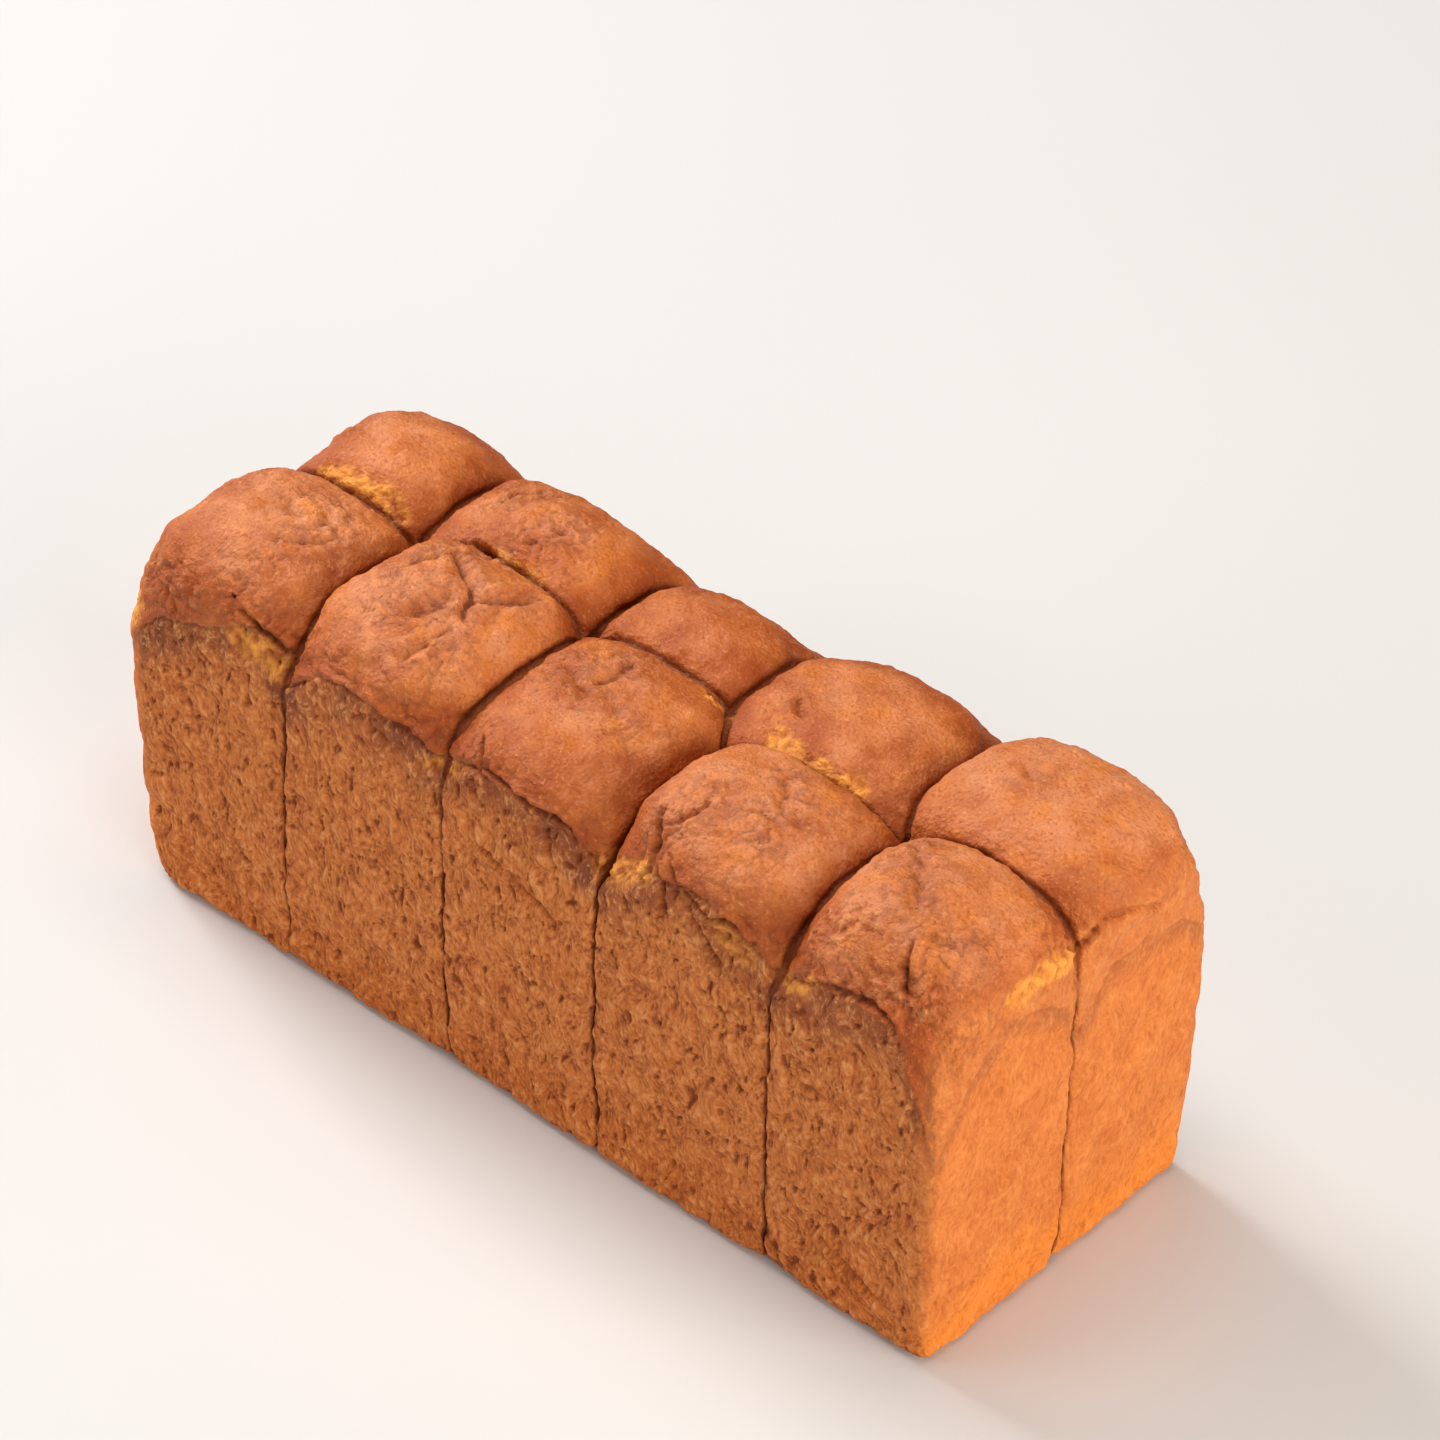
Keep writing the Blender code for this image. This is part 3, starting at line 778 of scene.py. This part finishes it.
def crown_relief(size, form, height, near_crease):
    """The crown's lumps, dimples and skin, and where it is wrinkled."""
    creping = smallest(patchy(form, "creping") * CREPING_SHARE + near_crease * CREPING_BY_CREASE, 1.0)
    creping = creping * size["Wrinkling"] * ramp(height, *CREPING_HEIGHTS)
    dimples = wave(wandered(form, "dimples"), "dimples") * mix(*DIMPLE_HEIGHTS, creping) * MM
    wrinkle = hump(abs(wave(wandered(form, "puckers"), "puckers")), 0.0, WRINKLE_SPREAD) * creping
    relief = raised(form, "lumps") + dimples - wrinkle * WRINKLE_DEPTH + raised(form, "skin")
    return relief, wrinkle


def wall_relief(form, slanted, wall, end_face):
    """The wall's upright fibres, broader drift and open pores."""
    fibre = wave(slanted, "fibre")
    drift = wave(form, "drift")
    open_crumb = mix(1.0, CRUMB_ON_END, end_face)
    pore = ramp(wave(slanted, "pores"), *PATCHES["pores"], smooth=True) * wall * open_crumb
    relief = fibre * open_crumb * FIBRE_HEIGHT + drift * mix(*DRIFT_HEIGHTS, end_face) * MM
    return relief - pore * PORE_DEPTH, pore, fibre + drift * DRIFT_IN_RIDGE - pore


def stain_under_lip(form, slanted, over_lip, wall, end_face):
    """How brown the wall is under its lip, in ragged patches."""
    scorch = patchy(form, "scorch")
    pale, scorched, on_end = STAIN_REACHES
    below = mix(mix(pale, scorched, scorch), on_end, end_face) * MM
    patches = mix(patchy(slanted, "stain"), 1.0, STAIN_PATCHINESS)
    stain = ramp(over_lip, -below, -STAIN_FULL * below, smooth=True) * wall * patches
    return stain * mix(STAIN_IF_PALE, 1.0, scorch) * mix(1.0, STAIN_ON_END, end_face)


def drifted_place(tree, form, normal, relief, off_base):
    """The place moved out by its relief, level at the base, and along seams that wander sideways."""
    drifts = [calc_vector(tree, "SUBTRACT", wandered(form, name), form) for name in ("seam", "fine_seam")]
    sideways = calc_vector(tree, "MULTIPLY", calc_vector(tree, "ADD", *drifts), SEAM_WANDER_SHARE)
    pushed = calc_vector(tree, "MULTIPLY", scale_vector(normal, relief), join(tree, 1.0, 1.0, off_base))
    return calc_vector(tree, "ADD", form, calc_vector(tree, "ADD", sideways, pushed))


def press_relief(tree, rolled, around, size):
    """Moves the roll's skin in and out, and writes on it where each kind of crust is and where shade, light
    and sheen are painted.
    """
    form = plain_node(tree, "GeometryNodeInputPosition")
    normal = plain_node(tree, "GeometryNodeInputNormal")
    u, v, height = (stored(tree, name) for name in ("across", "along", "height"))
    x = split(form)[0]
    end_face = ramp(abs(x), *END_FACE, smooth=True)
    slanted = wandered(form, "fibre")
    contact = gap_to(tree, around, form)

    wall, over_lip, lip, open_slit = lip_and_wall(size, form, (u, v, height), end_face)
    crown = 1.0 - wall
    creased, crack, off_crease = crease_relief(tree, around, form, normal)
    near_crease = hump(off_crease, 0.0, NEAR_CREASE)
    torn, golden, crumb = tear_marks(tree, around, form, normal)
    on_crown, wrinkle = crown_relief(size, form, height, near_crease)
    on_wall, pore, ridge = wall_relief(form, slanted, wall, end_face)
    relief = raised(form, "swell") + mix(on_wall, on_crown, crown)
    relief = relief + (crumb - TORN_LEVEL) * torn * TORN_HEIGHT
    relief = relief + raised(form, "foot") * ramp(height, *FOOT_EDGE)
    relief = relief + lip + creased * CREASE_STRENGTH * MM - cleft_relief(contact, height)
    moved = drifted_place(tree, form, normal, relief, ramp(height, *OFF_BASE, smooth=True))
    new_x, new_y, new_z = split(moved)

    flank = ramp(height, *FLANK_HEIGHTS, smooth=True)
    crumbs = ramp(crumb, *TORN_PITS)
    # Painted sheen grows toward the left end, nearest the key lamp
    sheen_toward_left = ramp(x, *SHEEN_TOWARD_LEFT_END) * SHEEN_TOWARD_LEFT_SHARE
    cleft_shade_width = mix(*CLEFT_SHADE_WIDTHS, ramp(height, *CLEFT_SHADE_HEIGHTS)) * MM
    marks = {
        "wall": wall,
        "stain": stain_under_lip(form, slanted, over_lip, wall, end_face),
        "torn": torn,
        "golden": torn * golden * crumbs,
        # Painted shade in pores, in the slit under the lip, and in cracks and wrinkles
        "hollow_shade": largest(pore * SHADE_IN_PORES,
                          largest(open_slit, smallest(crack + wrinkle * crown * SHADE_IN_WRINKLES, 1.0))),
        "end_face": end_face,
        "flank": flank,
        "low": ramp(height + wave(form, "low") * LOW_RAGGED, *LOW_HEIGHTS, smooth=True),
        # Dusty tone and painted sheen on the crowns' tops
        "dust_and_sheen": ramp(wave(form, "dust_and_sheen") + sheen_toward_left, *DUST_AND_SHEEN_LEVELS) * (1.0 - flank),
        # Random browning, with painted shade added on the crowns' lower flanks
        "browning_and_flank_shade": ramp(wave(form, "browning_and_flank_shade") * BROWNING_GAIN + flank, 0.0, 1.0),
        # Painted shade in the pits of torn crumb
        "torn_pit_shade": torn * (1.0 - crumbs),
        "crusty": torn * ramp(crumb, *TORN_CRUST),
        "mauve": patchy(form, "mauve") * smallest(near_crease + MAUVE_EVERYWHERE, 1.0),
        "honey": patchy(form, "honey"),
        "ruddy": patchy(form, "ruddy"),
        "ridge": ridge,
        # Painted shade in the clefts where rolls touch, weaker on the ends
        "cleft": hump(contact / cleft_shade_width, 0.0, 1.0) * mix(1.0, CLEFT_ON_END, end_face),
        "new_x": new_x,
        "new_y": new_y,
        "new_z": largest(new_z, 0.0),
    }
    rolled = store(tree, rolled, "bent_place", slanted, "FLOAT_VECTOR")
    for name, value in marks.items():
        rolled = store(tree, rolled, name, value)
    return move_to(tree, rolled, join(tree, *(stored(tree, name) for name in ("new_x", "new_y", "new_z"))))


def roll_tree(material):
    """The tree that makes one roll out of its sizes, its neighbours and the loaf's creases and tears."""
    tree = bpy.data.node_groups.new("roll", "GeometryNodeTree")
    tree.interface.new_socket("Around", in_out="INPUT", socket_type="NodeSocketGeometry")
    kinds = {"Rows Across": "Int", "Rows Up": "Int", "Plain": "Bool"}
    kinds.update({name: "Float" for name in ROLL_SIZES})
    slots = {}
    for name, kind in kinds.items():
        slot = tree.interface.new_socket(name, in_out="INPUT", socket_type=f"NodeSocket{kind}")
        slots[name] = slot.identifier
    tree.interface.new_socket("Roll", in_out="OUTPUT", socket_type="NodeSocketGeometry")
    start = tree.nodes.new("NodeGroupInput")
    size = {name: Field(tree, start.outputs[name]) for name in kinds}
    formed = bend_block(tree, size, size["Rows Across"], size["Rows Up"])
    rolled = press_relief(tree, formed, Field(tree, start.outputs["Around"]), size)
    choice = tree.nodes.new("GeometryNodeSwitch")
    choice.input_type = "GEOMETRY"
    feed(tree, choice.inputs["Switch"], size["Plain"])
    feed(tree, choice.inputs["False"], rolled)
    feed(tree, choice.inputs["True"], formed)
    rolled = Field(tree, choice.outputs[0])
    for name in ("across", "along", "height", "new_x", "new_y", "new_z"):
        node = tree.nodes.new("GeometryNodeRemoveAttribute")
        feed(tree, node.inputs["Geometry"], rolled)
        node.inputs["Name"].default_value = name
        rolled = Field(tree, node.outputs[0])
    realize = tree.nodes.new("GeometryNodeRealizeInstances")
    feed(tree, realize.inputs[0], rolled)
    finish = tree.nodes.new("GeometryNodeSetMaterial")
    tree.links.new(realize.outputs[0], finish.inputs["Geometry"])
    finish.inputs["Material"].default_value = material
    end = tree.nodes.new("NodeGroupOutput")
    tree.links.new(finish.outputs[0], end.inputs[0])
    return tree, slots


def smooth_path(places):
    """Points along a smooth curve through the places, wandering a little, each with the share run."""
    ends = [places[0] * 2.0 - places[1], *places, places[-1] * 2.0 - places[-2]]
    points = []
    for before, start, stop, after in zip(ends, ends[1:], ends[2:], ends[3:]):
        count = max(int((stop - start).length / LINE_STEP), 2)
        for k in range(count):
            t = k / count
            slope = (stop - before) * t
            bend = (before * 2.0 - start * 5.0 + stop * 4.0 - after) * t**2
            turn = (start * 3.0 - before - stop * 3.0 + after) * t**3
            points.append((start * 2.0 + slope + bend + turn) / 2.0)
    points.append(places[-1])
    shifted = [point + noise.noise_vector(point / LINE_WANDER_SIZE) * LINE_WANDER for point in points]
    return [(point, k / (len(shifted) - 1)) for k, point in enumerate(shifted)]


def surroundings(neighbours):
    """Loose points along every crease and tear, each with what it is there, and the neighbours' faces."""
    noise.seed_set(LINE_SEED)
    names = ("depth", "width", "crack", "golden", "is_crease", "is_tear")
    points = []
    rows = []
    for depth, width, crack, places in CREASES:
        for point, share in smooth_path([Vector(place) * MM for place in places]):
            taper = min(1.0, TAPER_RUN * share, TAPER_RUN * (1.0 - share)) ** TAPER_POWER
            points.append(point)
            reach = width * MM * mix(TAPER_WIDTH, 1.0, taper)
            rows.append((depth * taper, reach, crack * taper, 0.0, 1.0, 0.0))
    for reach, golden, places in TEARS:
        for point, _ in smooth_path([Vector(place) * MM for place in places]):
            points.append(point)
            rows.append((0.0, reach * MM, 0.0, golden, 0.0, 1.0))
    faces = []
    for form in neighbours:
        first = len(points)
        points += [vertex.co for vertex in form.vertices]
        rows += [(0.0,) * len(names)] * len(form.vertices)
        faces += [[first + corner for corner in polygon.vertices] for polygon in form.polygons]
    mesh = bpy.data.meshes.new("surroundings")
    mesh.from_pydata(points, [], faces)
    for column, name in enumerate(names):
        layer = mesh.attributes.new(name, "FLOAT", "POINT")
        layer.data.foreach_set("value", [row[column] for row in rows])
    return mesh


def roll_sizes(name, rows, plain):
    """The tree's inputs for one roll, in metres."""
    row, number = name.split("_")
    column = int(number) - 1
    in_back = row == "back"
    reach, top, fullness, long_lip, end_lip = ROLLS[name]
    values = {"Rows Across": rows[0], "Rows Up": rows[1], "Plain": plain}
    values.update({"Top": top * MM, "Fullness": fullness, "Back Row": float(in_back)})
    values["Wrinkling"] = CALM_SHARE if name in CALM_ROLLS else 1.0
    tin = {"Left": (BASE_HALF_LENGTH, column == 0, -1.0), "Right": (BASE_HALF_LENGTH, column == 4, 1.0)}
    tin["Near"] = (BASE_HALF_WIDTH, not in_back, -1.0)
    tin["Far"] = (BASE_HALF_WIDTH, in_back, 1.0)
    seams = {"Left": column - 1, "Right": column}
    for side, crown in zip(SIDES, reach):
        half, on_tin, way = tin[side]
        if on_tin:
            at_base = way * half
            at_rim = way * (half + WALL_SPREAD)
        elif side in seams:
            at_base = SEAMS_AT_BASE[seams[side]] * MM + way * SEAM_OVERLAP
            at_rim = SEAMS_AT_RIM[seams[side]] * MM + way * SEAM_OVERLAP
        else:
            at_base = at_rim = way * SEAM_OVERLAP
        values[f"{side} At Base"] = at_base
        values[f"{side} At Rim"] = at_rim
        values[f"{side} In Crown"] = crown * MM
        values[f"{side} On Tin"] = float(on_tin)
    for wall, heights in (("Long", long_lip), ("End", end_lip)):
        for at, height in zip(LIP_PLACES, heights):
            values[f"{wall} Lip {at}"] = height * MM
    return values


def add_object(name, data):
    thing = bpy.data.objects.new(name, data)
    bpy.context.scene.collection.objects.link(thing)
    return thing


def run_tree(tree, slots, around, values):
    """The mesh that the tree makes of these values, as plain data."""
    holder = add_object("holder", around)
    modifier = holder.modifiers.new("roll", "NODES")
    modifier.node_group = tree
    for name, value in values.items():
        modifier[slots[name]] = value
    bpy.context.view_layer.update()
    graph = bpy.context.evaluated_depsgraph_get()
    mesh = bpy.data.meshes.new_from_object(holder.evaluated_get(graph), depsgraph=graph)
    bpy.data.objects.remove(holder)
    return mesh


def touching(name, other):
    """True for rolls that are side by side, along the row or across it or slantwise."""
    return name != other and abs(int(name[-1]) - int(other[-1])) <= 1


def add_rolls(material):
    tree, slots = roll_tree(material)
    blank = bpy.data.meshes.new("blank")
    forms = {}
    for name in ROLLS:
        forms[name] = run_tree(tree, slots, blank, roll_sizes(name, COARSE_ROWS, True))
    for name in ROLLS:
        around = surroundings([form for other, form in forms.items() if touching(name, other)])
        mesh = run_tree(tree, slots, around, roll_sizes(name, FINE_ROWS, False))
        mesh.name = f"roll_{name}"
        mesh.shade_smooth()
        piece = add_object(f"roll_{name}", mesh)
        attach(piece, "root")
        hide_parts("loaf")


def read_mark(tree, name, output="Fac"):
    """What the tree wrote on the mesh under this name."""
    node = tree.nodes.new("ShaderNodeAttribute")
    node.attribute_name = name
    return Field(tree, node.outputs[output])


def blend_colour(tree, start, end, share):
    node = tree.nodes.new("ShaderNodeMix")
    node.data_type = "RGBA"
    feed(tree, node.inputs["Factor"], share)
    for slot, colour in (("A_Color", start), ("B_Color", end)):
        socket = next(s for s in node.inputs if s.identifier == slot)
        feed(tree, socket, colour if isinstance(colour, Field) else (*colour, 1.0))
    return Field(tree, next(s for s in node.outputs if s.identifier == "Result_Color"))


def layered(tree, colour, layers):
    """The colour under layers, each of them as strong as its mark and its own strength say."""
    for name, layer, strength in layers:
        colour = blend_colour(tree, colour, layer, read_mark(tree, name) * strength)
    return colour


def new_material(name):
    """A plain material with its tree, its shader, and the place on the object that wears it."""
    material = bpy.data.materials.new(name)
    material.use_nodes = True
    tree = material.node_tree
    spot = Field(tree, tree.nodes.new("ShaderNodeTexCoord").outputs["Object"])
    return material, tree, tree.nodes["Principled BSDF"], spot


def crust_material():
    """Baked crust: colour by the marks on the mesh, some of them painted shade, light, sheen and glow;
    grain by the place on the loaf.
    """
    material, tree, shader, spot = new_material("crust")
    wall, torn, end_face, flank = (read_mark(tree, name) for name in ("wall", "torn", "end_face", "flank"))
    calm = mix(1.0, GRAIN_ON_END, end_face)
    fibre = wave(read_mark(tree, "bent_place", "Vector"), "fine_fibre")
    skin = wave(spot, "fine_skin")
    ridge = read_mark(tree, "ridge") * RIDGE_SHARE + fibre * FINE_FIBRE_SHARE

    # Crown colour: dusty tone with painted sheen on top, honey, mauve, then browning that carries painted
    # shade on the flanks
    crown = layered(tree, CROWN_BROWN, CROWN_LAYERS)
    crown = blend_colour(tree, crown, CROWN_PALE, ramp(skin, *PALE_SPECKS) * mix(*PALE_SPECKS_SHARE, flank))
    crown = blend_colour(tree, crown, CROWN_DEEP, ramp(skin, *DARK_SPECKS) * DARK_SPECKS_SHARE)
    # The walls' orange foot, with a painted glow at the foot of the end faces
    foot = blend_colour(tree, WALL_FIERY, END_GLOW_AMBER, end_face)
    side = layered(tree, WALL_TAN, (("ruddy", WALL_RED, RUDDY_SHARE), ("low", foot, LOW_SHARE)))
    side = layered(tree, side, (("stain", STAIN_BROWN, STAIN_SHARE),))
    # Painted shade in the relief's hollows and painted light on its ridges
    side = blend_colour(tree, side, WALL_SHADE, ramp(ridge, *WALL_HOLLOW_SHADES) * WALL_HOLLOW_SHADES_SHARE * calm)
    side = blend_colour(tree, side, WALL_RIDGE_LIGHT, ramp(ridge, *WALL_RIDGE_LIGHTS) * WALL_RIDGE_LIGHTS_SHARE * calm)
    colour = blend_colour(tree, crown, side, largest(wall, end_face * ramp(flank, *END_OVER_FLANK)))
    # Torn spots, with painted shade in the pits of their crumb
    colour = layered(tree, colour, TEAR_LAYERS)
    # Painted shade in pores, cracks, wrinkles, slits and clefts
    painted_shade = largest(read_mark(tree, "hollow_shade"), read_mark(tree, "cleft"))
    colour = blend_colour(tree, colour, HOLLOW_SHADE_BROWN, painted_shade * PAINTED_SHADE_SHARE)
    feed(tree, shader.inputs["Base Color"], colour)
    roughness = mix(CROWN_ROUGHNESS, WALL_ROUGHNESS, wall) + skin * ROUGHNESS_GRAIN
    feed(tree, shader.inputs["Roughness"], roughness)
    shader.inputs["Specular IOR Level"].default_value = CRUST_SPECULAR

    height = mix(skin * mix(CROWN_GRAIN, TORN_GRAIN, torn), fibre * WALL_GRAIN * calm, wall)
    bump = tree.nodes.new("ShaderNodeBump")
    bump.inputs["Strength"].default_value = 1.0
    bump.inputs["Distance"].default_value = 1.0
    feed(tree, bump.inputs["Height"], height * MM)
    tree.links.new(bump.outputs["Normal"], shader.inputs["Normal"])
    return material


def add_camera():
    """The photograph's view: turned about the loaf, then shifted so that the loaf sits as it does there."""
    flat = math.cos(CAMERA_ELEVATION)
    steepness = math.sin(CAMERA_ELEVATION)
    back = Vector((math.sin(CAMERA_AZIMUTH) * flat, -math.cos(CAMERA_AZIMUTH) * flat, steepness))
    level = Vector((math.cos(CAMERA_AZIMUTH), math.sin(CAMERA_AZIMUTH), 0.0))
    steep = back.cross(level)
    right = level * math.cos(CAMERA_ROLL) + steep * math.sin(CAMERA_ROLL)
    up = steep * math.cos(CAMERA_ROLL) - level * math.sin(CAMERA_ROLL)
    data = bpy.data.cameras.new("camera")
    data.lens = CAMERA_LENS
    data.sensor_width = CAMERA_SENSOR
    camera = add_object("camera", data)
    place = Matrix((right, up, back)).transposed().to_4x4()
    place.translation = back * CAMERA_DISTANCE + right * CAMERA_ASIDE + up * CAMERA_ABOVE
    camera.matrix_world = place
    bpy.context.scene.camera = camera


def floor_material():
    material, tree, shader, spot = new_material("pale_floor")
    patches = ramp(grain(spot, FLOOR_PATCH_SIZE, 1.0), *FLOOR_PATCHES)
    feed(tree, shader.inputs["Base Color"], blend_colour(tree, FLOOR_LIGHT, FLOOR_SHADE, patches))
    shader.inputs["Roughness"].default_value = FLOOR_ROUGHNESS
    return material


def add_floor():
    half = FLOOR_HALF_SIZE
    corners = [(-half, -half, 0.0), (half, -half, 0.0), (half, half, 0.0), (-half, half, 0.0)]
    mesh = bpy.data.meshes.new("floor")
    mesh.from_pydata(corners, [], [(0, 1, 2, 3)])
    mesh.materials.append(floor_material())
    add_object("floor", mesh)


# Soft lamps: place, width in metres, power in watts, colour. All point at the loaf.
LAMPS = {
    "lamp_left": ((-2.1, 0.14, 1.54), 1.0, 53.0, (1.0, 1.0, 1.0)),
    "lamp_left_high": ((-0.9, 0.3, 1.7), 1.0, 4.0, (1.0, 1.0, 1.0)),
    "lamp_top": ((0.1, 0.0, 2.0), 1.2, 18.0, (1.0, 0.96, 0.92)),
    "lamp_front_left": ((-1.1, -1.3, 0.8), 1.0, 9.5, (1.0, 0.95, 0.90)),
    "lamp_right_low": ((2.1, 0.45, 0.6), 1.2, 28.5, (1.0, 0.88, 0.70)),
    "lamp_right_front": ((1.95, -0.78, 0.78), 1.2, 21.5, (1.0, 0.98, 0.95)),
}
LAMP_TARGET = Vector((0.0, 0.0, 0.06))
SKY_STRENGTH = 0.11


def add_lights():
    for name, (place, width, power, colour) in LAMPS.items():
        data = bpy.data.lights.new(name, "AREA")
        data.shape = "SQUARE"
        data.size = width
        data.energy = power
        data.color = colour
        lamp = add_object(name, data)
        lamp.location = place
        lamp.rotation_euler = (LAMP_TARGET - Vector(place)).to_track_quat("-Z", "Y").to_euler()
    world = bpy.data.worlds.new("soft_room")
    world.use_nodes = True
    world.node_tree.nodes["Background"].inputs["Strength"].default_value = SKY_STRENGTH
    bpy.context.scene.world = world


add_camera()
add_floor()
add_lights()
add_rolls(crust_material())
bpy.context.scene.view_settings.view_transform = "Standard"
